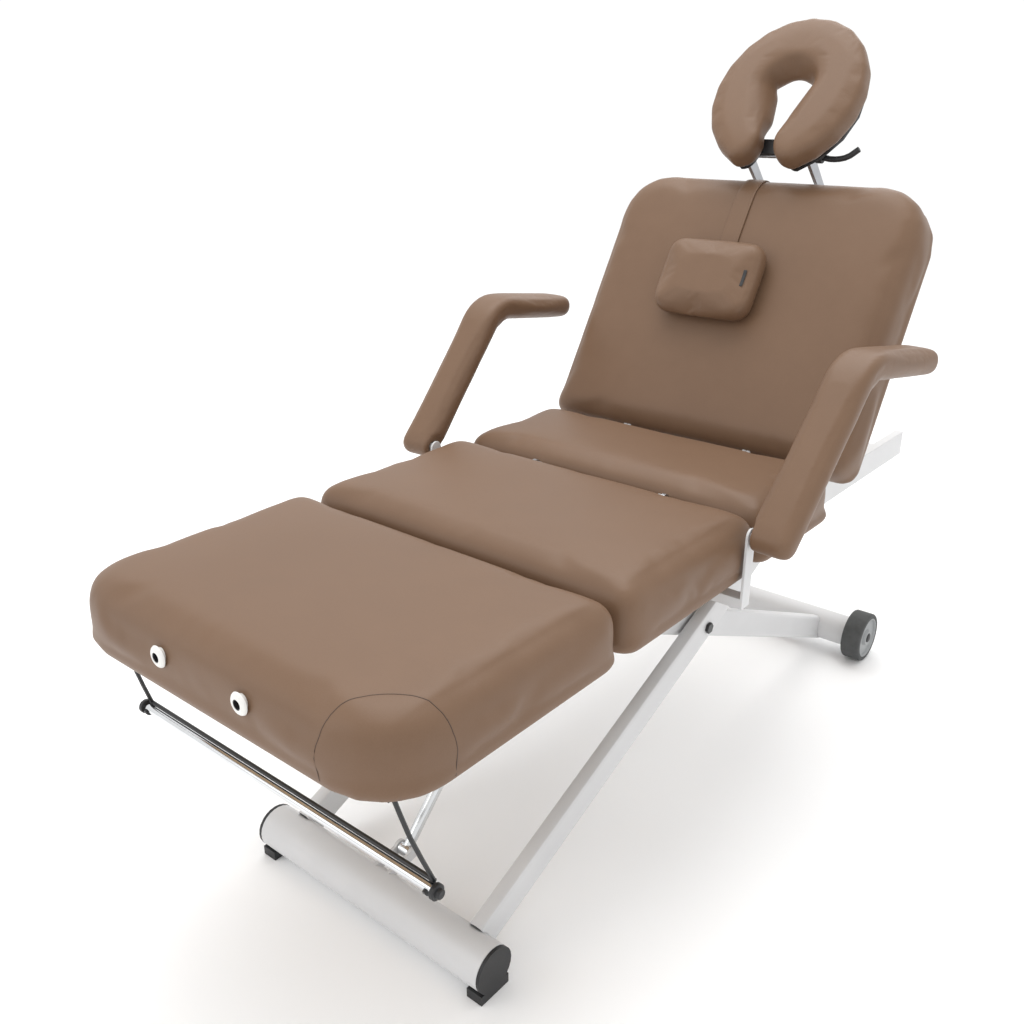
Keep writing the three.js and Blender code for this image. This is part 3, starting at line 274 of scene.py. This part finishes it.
def revolve(name, profile, centre, steps=72):
    """A closed profile of (across, radius) points, turned about the X axis through centre."""
    mesh = bpy.data.meshes.new(name)
    points = [(centre[0] + across, centre[1], centre[2] + radius) for across, radius in profile]
    edges = [(i, (i + 1) % len(points)) for i in range(len(points))]
    mesh.from_pydata(points, edges, [])
    piece = bpy.data.objects.new(name, mesh)
    bpy.context.scene.collection.objects.link(piece)
    pick(piece)
    bpy.ops.object.mode_set(mode="EDIT")
    bpy.ops.mesh.select_all(action="SELECT")
    bpy.ops.mesh.spin(steps=steps, angle=2 * math.pi, center=centre, axis=(1, 0, 0))
    bpy.ops.mesh.select_all(action="SELECT")
    bpy.ops.mesh.remove_doubles(threshold=MERGE)
    bpy.ops.mesh.normals_make_consistent(inside=False)
    bpy.ops.object.mode_set(mode="OBJECT")
    smooth(piece, 35)
    return piece


def tube_along(name, points, radius, sides=8, closed=False):
    """A thin round bead along points."""
    mesh = bpy.data.meshes.new(name)
    form = bmesh.new()
    count = len(points)
    rings = []
    for i, point in enumerate(points):
        before = points[i - 1] if closed or i else point
        after = points[(i + 1) % count] if closed or i < count - 1 else point
        run = (after - before).normalized()
        side = run.cross(Vector((0, 0, 1)))
        if side.length < 0.1:
            side = run.cross(Vector((1, 0, 0)))
        side.normalize()
        up = side.cross(run)
        ring = []
        for k in range(sides):
            turn = 2 * math.pi * k / sides
            ring.append(form.verts.new(point + radius * (side * math.cos(turn) + up * math.sin(turn))))
        rings.append(ring)
    for i in range(count if closed else count - 1):
        a, b = rings[i], rings[(i + 1) % count]
        for k in range(sides):
            form.faces.new((a[k], a[(k + 1) % sides], b[(k + 1) % sides], b[k]))
    if not closed:
        form.faces.new(rings[0])
        form.faces.new(rings[-1])
    bmesh.ops.recalc_face_normals(form, faces=form.faces)
    form.to_mesh(mesh)
    form.free()
    piece = bpy.data.objects.new(name, mesh)
    bpy.context.scene.collection.objects.link(piece)
    smooth(piece)
    return piece


# ---------------------------------------------------------------- hard pieces

SPECIAL = {"wheel_tyre_left", "wheel_tyre_right", "wheel_hub_left", "wheel_hub_right", "holder_rod",
           "grommet_left", "grommet_right"}
SOFT = {"seat_cushion", "thigh_cushion", "leg_cushion", "back_cushion", "neck_pillow", "pillow_strap",
        "face_pillow", "armrest_left", "armrest_right"}


def eased(node, width=0.0012):
    """The CAD piece with its edges rounded over and its round faces made smooth."""
    piece = copy_of(node, node + "_shown")
    bpy.ops.object.mode_set(mode="EDIT")
    bpy.ops.mesh.select_all(action="SELECT")
    bpy.ops.mesh.dissolve_limited(angle_limit=FLAT)
    bpy.ops.object.mode_set(mode="OBJECT")
    apply_modifier(piece, "BEVEL", width=width, segments=2, limit_method="ANGLE",
                   angle_limit=math.radians(38), use_clamp_overlap=True)
    smooth(piece, 42)
    apply_modifier(piece, "WEIGHTED_NORMAL", keep_sharp=True)
    return done(piece, BODY_OF[node], SLOT_OF[node], replaced=(node,))


for node in NODES:
    if node not in SPECIAL and node not in SOFT:
        thin = node in ("holder_frame", "knee_leaf_front", "knee_leaf_rear",
                        "thigh_arm_left", "thigh_arm_right")
        eased(node, 0.0005 if thin else 0.0012)


# ---------------------------------------------------------------- wheels

def wheel(side_name, side):
    low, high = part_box("wheel_tyre_" + side_name)
    centre = Vector(((low[0] + high[0]) / 2, (low[1] + high[1]) / 2, (low[2] + high[2]) / 2))
    half = (high[0] - low[0]) / 2
    radius = (high[2] - low[2]) / 2
    hub = (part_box("wheel_hub_" + side_name)[1][2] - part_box("wheel_hub_" + side_name)[0][2]) / 2
    shoulder = 0.006
    inside = hub + 0.0003
    corner = [(half - shoulder + shoulder * math.sin(a), radius - shoulder + shoulder * math.cos(a))
              for a in [k * math.pi / 16 for k in range(9)]]
    tread = [(x, r) for x, r in corner] + [(half, inside)]
    profile = tread + [(-x, r) for x, r in reversed(tread)]
    tyre = revolve("tyre_" + side_name, profile, centre)
    body = "wheel_" + side_name
    done(tyre, body, "tyre", replaced=("wheel_tyre_" + side_name,))
    dish = 0.0065
    bore = 0.0064
    outer = half - 0.0004
    profile = [(-outer, bore), (-outer, hub), (outer - 0.0008, hub), (outer, hub - 0.0008),
               (outer, hub - 0.0025), (outer - 0.0008, hub - 0.0035), (outer - dish + 0.001, hub - 0.0055),
               (outer - dish, hub - 0.0075), (outer - dish, 0.0215), (outer - dish + 0.0012, 0.0200),
               (outer - 0.001, 0.0185), (outer, 0.0172), (outer, bore)]
    disc = revolve("hub_" + side_name, [(side * x, r) for x, r in profile], centre)
    done(disc, body, "grey_plastic", replaced=("wheel_hub_" + side_name,))
    cap = [(outer + 0.0002, 0.0001), (outer + 0.0002, 0.0118), (outer + 0.0016, 0.0115),
           (outer + 0.0030, 0.0090), (outer + 0.0036, 0.0045), (outer + 0.0037, 0.0001)]
    done(revolve("axle_cap_" + side_name, [(side * x, r) for x, r in cap], centre, 32),
         body, "black_plastic")


wheel("left", 1)
wheel("right", -1)


# ---------------------------------------------------------------- paper roll bar

def roll_bar():
    """The chrome bar and its two black end knobs."""
    low, high = (Vector(corner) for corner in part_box("holder_rod"))
    centre = (low + high) / 2
    knob = (high.z - low.z) / 2
    reach = (high.x - low.x) / 2
    plain_bar = 0.007
    shoulder = reach - 0.0142
    profile = [(-shoulder, 0.0002), (-shoulder, plain_bar), (shoulder, plain_bar), (shoulder, 0.0002)]
    done(revolve("roll_bar", profile, centre, 40), "roll_bar", "chrome", replaced=("holder_rod",))
    for side_name, side in (("left", 1), ("right", -1)):
        profile = [(shoulder + 0.0002, 0.0002), (shoulder + 0.0002, knob - 0.001), (shoulder + 0.0012, knob),
                   (shoulder + 0.0070, knob), (shoulder + 0.0082, knob - 0.0012),
                   (shoulder + 0.0086, knob - 0.0042), (shoulder + 0.0130, knob - 0.0048),
                   (reach, knob - 0.0062), (reach, 0.0002)]
        done(revolve("bar_knob_" + side_name, [(side * x, r) for x, r in profile], centre, 40),
             "roll_bar", "black_plastic")


roll_bar()


def socket_ring(side_name):
    """A white ring set in the foot end of the pad, with a dark hole for an accessory's pin: a closed black cup
    in the hole is painted shade.
    """
    low, high = (Vector(corner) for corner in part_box("grommet_" + side_name))
    radius = (high.x - low.x) / 2
    centre = (low + high) / 2
    front = centre.y - low.y
    turn = Matrix.Translation(centre) @ Matrix.Rotation(math.pi / 2, 4, "Z")
    hole = 0.0078
    profile = [(-front, hole), (-front, radius * 0.5), (-front + 0.0015, radius - 0.0025),
               (-front + 0.0030, radius - 0.0008), (-front + 0.0048, radius), (-front + 0.0058, radius - 0.001),
               (-front + 0.0058, radius * 0.72), (front - 0.004, radius * 0.72), (front - 0.004, hole)]
    ring = revolve("socket_ring_" + side_name, profile, Vector((0, 0, 0)), 56)
    ring.data.transform(turn)
    done(ring, "leg", "white_plastic", replaced=("grommet_" + side_name,))
    # painted shade: a closed black cup inside the hole stands in for the shade deep in it
    hole_shade_profile = [(-front + 0.0006, hole - 0.0004), (-front + 0.0006, hole - 0.0014), (front - 0.006, hole - 0.0014),
              (front - 0.006, 0.0002), (front - 0.0045, 0.0002), (front - 0.0045, hole - 0.0004)]
    hole_shade = revolve("socket_hole_shade_" + side_name, hole_shade_profile, Vector((0, 0, 0)), 40)
    hole_shade.data.transform(turn)
    done(hole_shade, "leg", "black_plastic")


socket_ring("left")
socket_ring("right")


# ---------------------------------------------------------------- soft pieces

def inflate(piece, pressure, cap, held=None):
    """Blows the cover up like cloth, then limits how far each point has moved."""
    start = [point.co.copy() for point in piece.data.vertices]
    cloth = piece.modifiers.new("swell", "CLOTH")
    cloth.settings.quality = 4
    cloth.settings.use_pressure = True
    cloth.settings.uniform_pressure_force = pressure
    cloth.settings.effector_weights.gravity = 0
    cloth.settings.tension_stiffness = 12
    cloth.settings.bending_stiffness = 0.6
    cloth.collision_settings.use_collision = False
    cloth.point_cache.frame_start = 1
    cloth.point_cache.frame_end = 22
    for step in range(1, 21):
        bpy.context.scene.frame_set(step)
    shape = piece.evaluated_get(bpy.context.evaluated_depsgraph_get())
    moved = [point.co.copy() for point in shape.data.vertices]
    piece.modifiers.remove(cloth)
    bpy.context.scene.frame_set(1)
    for point, old, new in zip(piece.data.vertices, start, moved):
        shift = new - old
        share = held(old) if held else 1.0
        limit = cap * share
        if shift.length > limit:
            shift = shift * (limit / shift.length) if limit > 0 else Vector()
        point.co = old + shift


def extent(piece):
    """The lowest and highest corner of a piece's mesh."""
    spots = [point.co for point in piece.data.vertices]
    return tuple(Vector([end(spot[k] for spot in spots) for k in range(3)]) for end in (min, max))


def relaxed(piece, times, factor=0.5):
    apply_modifier(piece, "SMOOTH", iterations=times, factor=factor)


def bed_pad(node, tilt=0.0, hinge=Vector((0, 0, 0))):
    """A firm foam pad. Its face crowns, its sides pull in a little, and its underside stays flat."""
    piece = copy_of(node, node.replace("cushion", "pad"))
    turn = Matrix.Rotation(-tilt, 4, "X") @ Matrix.Translation(-hinge)
    piece.data.transform(turn)
    low, high = extent(piece)
    middle = (low + high) / 2
    half = (high - low) / 2
    outline = [point.co.copy() for point in piece.data.vertices if point.co.z > middle.z - 0.03]
    skirt = bmesh.new()
    skirt.from_mesh(piece.data)
    for spot in outline:
        skirt.verts.new((middle.x + (spot.x - middle.x) * (1 - TUCK / half.x),
                         middle.y + (spot.y - middle.y) * (1 - TUCK / half.y), low.z))
    bmesh.ops.convex_hull(skirt, input=skirt.verts)
    loose = [point for point in skirt.verts if not point.link_faces]
    bmesh.ops.delete(skirt, geom=loose, context="VERTS")
    skirt.to_mesh(piece.data)
    skirt.free()
    pick(piece)
    bpy.ops.object.mode_set(mode="EDIT")
    bpy.ops.mesh.select_all(action="SELECT")
    bpy.ops.mesh.convex_hull()
    bpy.ops.object.mode_set(mode="OBJECT")
    apply_modifier(piece, "REMESH", mode="VOXEL", voxel_size=PAD_VOXEL)
    sharp = [point.co.copy() for point in piece.data.vertices]
    relaxed(piece, SOFTENING)

    def held(spot):
        rise = (spot.z - low.z - HELD_RIM) / HELD_RISE
        rise = max(0.0, min(1.0, rise))
        return rise * rise * (3 - 2 * rise)

    for point, old in zip(piece.data.vertices, sharp):
        point.co = old.lerp(point.co, held(old))
    inflate(piece, 2.0, CROWN * 0.7, held)
    puffed = [point.co.copy() for point in piece.data.vertices]
    relaxed(piece, 8)
    for point, old in zip(piece.data.vertices, puffed):
        point.co = old.lerp(point.co, held(old))
    soft_low, soft_high = extent(piece)
    for point in piece.data.vertices:
        spot = point.co
        up = held(spot)
        for axis in (0, 1):
            share = (spot[axis] - soft_low[axis]) / (soft_high[axis] - soft_low[axis])
            spot[axis] += up * (low[axis] + share * (high[axis] - low[axis]) - spot[axis])
        across = min(1.0, abs(spot.x - middle.x) / half.x)
        along = min(1.0, abs(spot.y - middle.y) / half.y)
        dome = (1 - across ** 4) * (1 - along ** 4)
        spot.z += up * (high.z - CROWN * 0.35 - soft_high.z + CROWN * 0.9 * dome)
        pull = PULL_IN * (1 - along ** 2) if across > 0.9 else 0.0
        spot.x -= math.copysign(pull * up, spot.x - middle.x)
        reach = half.y - 0.0004
        spot.y = middle.y + max(-reach, min(reach, spot.y - middle.y))
        if spot.z < low.z + UNDER_BOARD:
            spot.z = low.z + UNDER_BOARD  # the board stands proud of the cover
    piece.data.transform(turn.inverted())
    apply_modifier(piece, "SUBSURF", levels=1, render_levels=1)
    smooth(piece)
    done(piece, BODY_OF[node], "vinyl", replaced=(node,))
    return piece


def surface_of(piece):
    mesh = piece.data
    return BVHTree.FromPolygons([point.co for point in mesh.vertices],
                                [face.vertices for face in mesh.polygons])


def seam_on(name, piece, spots, radius, body, sink=0.0, sides=6):
    """A sewn seam: spots are moved to the nearest place on the piece, then joined by a thin bead, coloured dark
    as painted shadow in the seam.
    """
    skin = surface_of(piece)
    path = []
    for spot in spots:
        near, normal, _, _ = skin.find_nearest(spot)
        path.append(near - normal * sink)
    seam = tube_along(name, path, radius, sides)
    # the bead carries the painted seam shadow colour
    return done(seam, body, "vinyl", finish="painted_seam_shadow")


recline = JOINTS["back_recline"]
back_run = Vector(JOINTS["pillow_height"]["axis"])
BACK_ANGLE = math.atan2(back_run.z, back_run.y)
BACK_HINGE = Vector(recline["pos_m"])

seat = bed_pad("seat_cushion")
bed_pad("thigh_cushion")
leg = bed_pad("leg_cushion")
back = bed_pad("back_cushion", BACK_ANGLE, BACK_HINGE)


def corner_cap_seam():
    """The arched seam of the corner piece: up the front, over the top and down the side."""
    low, high = (Vector(corner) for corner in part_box("leg_cushion"))
    reach_x = 0.124
    reach_y = 0.122
    steps = 60
    spots = []
    for k in range(steps + 1):
        turn = math.pi * k / steps
        rise = math.sin(turn) ** 0.42
        swing = (1 - math.cos(turn)) / 2
        height = low.z + 0.006 + (high.z - low.z + 0.03) * rise
        spots.append(Vector((high.x - reach_x * (1 - swing) ** 0.62 + 0.03 * swing ** 6,
                             low.y + reach_y * swing ** 0.62 - 0.03 * (1 - swing) ** 6, height)))
    seam_on("corner_seam", leg, spots, 0.0009, "leg", 0.0003)


corner_cap_seam()


def arm_pad(side_name):
    node = "armrest_" + side_name
    piece = copy_of(node, "arm_pad_" + side_name)
    apply_modifier(piece, "REMESH", mode="VOXEL", voxel_size=ARM_VOXEL)
    relaxed(piece, 14)
    inflate(piece, 2.0, 0.0022)
    relaxed(piece, 2)
    apply_modifier(piece, "SUBSURF", levels=1, render_levels=1)
    smooth(piece)
    done(piece, node, "vinyl", replaced=(node,))
    return piece


for side_name in ("left", "right"):
    arm_pad(side_name)


def small_pillow():
    """The neck pillow: two panels sewn round the edge, fullest at the middle."""
    piece = copy_of("neck_pillow", "neck_cushion")
    apply_modifier(piece, "REMESH", mode="VOXEL", voxel_size=PILLOW_VOXEL)
    relaxed(piece, 3)
    inflate(piece, 2.0, 0.005)
    relaxed(piece, 3)
    apply_modifier(piece, "SUBSURF", levels=1, render_levels=1)
    smooth(piece)
    done(piece, "neck_pillow", "vinyl", replaced=("neck_pillow",))
    return piece


def head_ring():
    """The face pillow, open in the middle and at its lower end.
    Its inner wall slopes in towards the back."""
    piece = copy_of("face_pillow", "face_ring")
    apply_modifier(piece, "REMESH", mode="VOXEL", voxel_size=PILLOW_VOXEL)
    low, high = (Vector(corner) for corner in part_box("face_pillow"))
    lean = BACK_ANGLE - CRADLE_LEAN
    turn = Matrix.Rotation(-lean, 4, "X") @ Matrix.Translation(-(low + high) / 2)
    piece.data.transform(turn)
    flat_low, flat_high = extent(piece)
    depth = flat_high.z - flat_low.z
    for point in piece.data.vertices:
        spot = point.co
        behind = max(0.0, min(1.0, (flat_high.z - 0.012 - spot.z) / (depth * 0.55)))
        from_edge = max(abs(spot.x) / flat_high.x, abs(spot.y) / flat_high.y)
        inner = max(0.0, min(1.0, (0.62 - from_edge) / 0.25))
        above = max(0.0, min(1.0, spot.y / 0.05))
        spot.x *= 1 - (0.40 - 0.30 * above) * behind * inner
        if spot.y > 0:
            spot.y *= 1 - 0.42 * behind * inner * above
    piece.data.transform(turn.inverted())
    relaxed(piece, 12)
    inflate(piece, 2.0, 0.004)
    relaxed(piece, 4)
    apply_modifier(piece, "SUBSURF", levels=1, render_levels=1)
    smooth(piece)
    done(piece, "cradle_head", "vinyl", replaced=("face_pillow",))
    return piece


pillow = small_pillow()
head_ring()


def back_place(across, along, out):
    """A point given by its place across, along and out from the reclined back."""
    spot = Matrix.Rotation(BACK_ANGLE, 4, "X") @ Vector((0, along, out))
    return Vector((across, BACK_HINGE.y + spot.y, BACK_HINGE.z + spot.z))


def strap():
    """The flat strap: from the pillow up the back, over its top edge and down behind."""
    low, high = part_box("pillow_strap")
    centre_x = (low[0] + high[0]) / 2
    half = (high[0] - low[0]) / 2
    turn = Matrix.Rotation(-BACK_ANGLE, 4, "X") @ Matrix.Translation(-BACK_HINGE)
    mesh = copy_of("pillow_strap", "strap_guide")
    mesh.data.transform(turn)
    tight_low, tight_high = extent(mesh)
    bpy.data.objects.remove(mesh, do_unlink=True)
    skin = surface_of(back)
    top = tight_high.y - 0.055
    out = (tight_low.z + tight_high.z) / 2
    guides = []
    start = tight_low.y
    for k in range(34):
        guides.append((start + (top - start) * k / 33, 0.16, 0.0))
    for k in range(1, 24):
        guides.append((top, 0.16, math.pi * k / 24))
    tail = top - 0.11
    for k in range(10):
        guides.append((top + (tail - top) * k / 9, 0.16, math.pi))
    rows = []
    columns = 7
    for along, away, bend in guides:
        row = []
        for c in range(columns):
            across = centre_x - half + 2 * half * c / (columns - 1)
            pivot = back_place(across, along, out)
            probe = back_place(across, along + away * math.sin(bend), out + away * math.cos(bend))
            hit = skin.ray_cast(probe, (pivot - probe).normalized())
            if hit[0] is None:
                continue
            edge = abs(c - (columns - 1) / 2) / ((columns - 1) / 2)
            row.append(hit[0] + hit[1] * (0.0028 - 0.0008 * edge ** 4))
        if len(row) == columns:
            rows.append(row)
    points = [spot for row in rows for spot in row]
    faces = [(i * columns + c, i * columns + c + 1, (i + 1) * columns + c + 1, (i + 1) * columns + c)
             for i in range(len(rows) - 1) for c in range(columns - 1)]
    ribbon = bpy.data.meshes.new("strap")
    ribbon.from_pydata(points, [], faces)
    piece = bpy.data.objects.new("neck_strap", ribbon)
    bpy.context.scene.collection.objects.link(piece)
    pick(piece)
    relaxed(piece, 3)
    apply_modifier(piece, "SOLIDIFY", thickness=0.0030, offset=0.0)
    apply_modifier(piece, "BEVEL", width=0.0004, segments=2, limit_method="ANGLE",
                   angle_limit=math.radians(50))
    smooth(piece, 50)
    done(piece, BODY_OF["pillow_strap"], "vinyl", replaced=("pillow_strap",))


strap()


def pillow_tag():
    """A small plain black loop sewn near the pillow's edge."""
    low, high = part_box("neck_pillow")
    middle = Vector([(a + b) / 2 for a, b in zip(low, high)])
    edge = high[0]
    skin = surface_of(pillow)
    normal = Matrix.Rotation(BACK_ANGLE, 4, "X") @ Vector((0, 0, 1))
    run = Matrix.Rotation(BACK_ANGLE, 4, "X") @ Vector((0, 1, 0))
    bpy.ops.object.select_all(action="DESELECT")
    spots = []
    for k in range(9):
        start = Vector((edge - 0.024, middle.y, middle.z)) + run * (-0.018 + 0.0045 * k) + normal * 0.2
        hit = skin.ray_cast(start, -normal)
        if hit[0] is not None:
            spots.append(hit[0] + normal * 0.0006)
    mesh = bpy.data.meshes.new("tag")
    half = 0.0045
    points = []
    for spot in spots:
        points += [spot + Vector((-half, 0, 0)), spot + Vector((half, 0, 0))]
    faces = [(2 * i, 2 * i + 1, 2 * i + 3, 2 * i + 2) for i in range(len(spots) - 1)]
    mesh.from_pydata(points, [], faces)
    piece = bpy.data.objects.new("pillow_tag", mesh)
    bpy.context.scene.collection.objects.link(piece)
    apply_modifier(piece, "SOLIDIFY", thickness=0.0012, offset=0.0)
    apply_modifier(piece, "BEVEL", width=0.0003, segments=2)
    smooth(piece, 40)
    done(piece, "neck_pillow", "black_plastic")


pillow_tag()


# ---------------------------------------------------------------- room, light and camera

def studio():
    pick(seat)
    bpy.ops.object.select_all(action="DESELECT")
    bpy.ops.mesh.primitive_plane_add(size=30, location=(0, 0, -0.0005))
    floor = bpy.context.active_object
    floor.name = "floor"
    paint = Paint("floor_paper", Roughness=0.85)
    tone = paint.noise(1.2, 2.0)
    floor_tone = paint.mix(tone, (0.975, 0.975, 0.975), (0.985, 0.985, 0.985))
    floor.data.materials.append(paint.finish(floor_tone))
    world = bpy.data.worlds.new("studio")
    bpy.context.scene.world = world
    world.use_nodes = True
    world.node_tree.nodes["Background"].inputs["Color"].default_value = (1, 1, 1, 1)
    world.node_tree.nodes["Background"].inputs["Strength"].default_value = 1.04
    bpy.context.scene.view_settings.view_transform = "Standard"
    for name, spot, size, power in (("overhead", (-0.6, 0.6, 4.4), 3.4, 96.0),
                                    ("front", (-2.2, -4.2, 3.0), 2.6, 26.0),
                                    ("rear", (-1.0, 3.9, 3.4), 2.4, 30.0)):
        light = bpy.data.lights.new(name, "AREA")
        light.size = size
        light.energy = power
        lamp = bpy.data.objects.new(name, light)
        lamp.location = spot
        lamp.rotation_euler = (Vector((0, 0, 0.6)) - Vector(spot)).to_track_quat("-Z", "Y").to_euler()
        bpy.context.scene.collection.objects.link(lamp)


def viewpoint():
    low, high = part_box("foot_cap_left")
    tube_y = (low[1] + high[1]) / 2
    camera = bpy.data.cameras.new("camera")
    camera.sensor_width = 36
    camera.lens = 35.64
    camera.clip_end = 60
    holder = bpy.data.objects.new("camera", camera)
    holder.location = (1.0778, tube_y - 0.9185, 1.3300)
    holder.rotation_euler = (math.radians(67.92), 0, math.radians(39.86))
    bpy.context.scene.collection.objects.link(holder)
    bpy.context.scene.camera = holder


studio()
viewpoint()
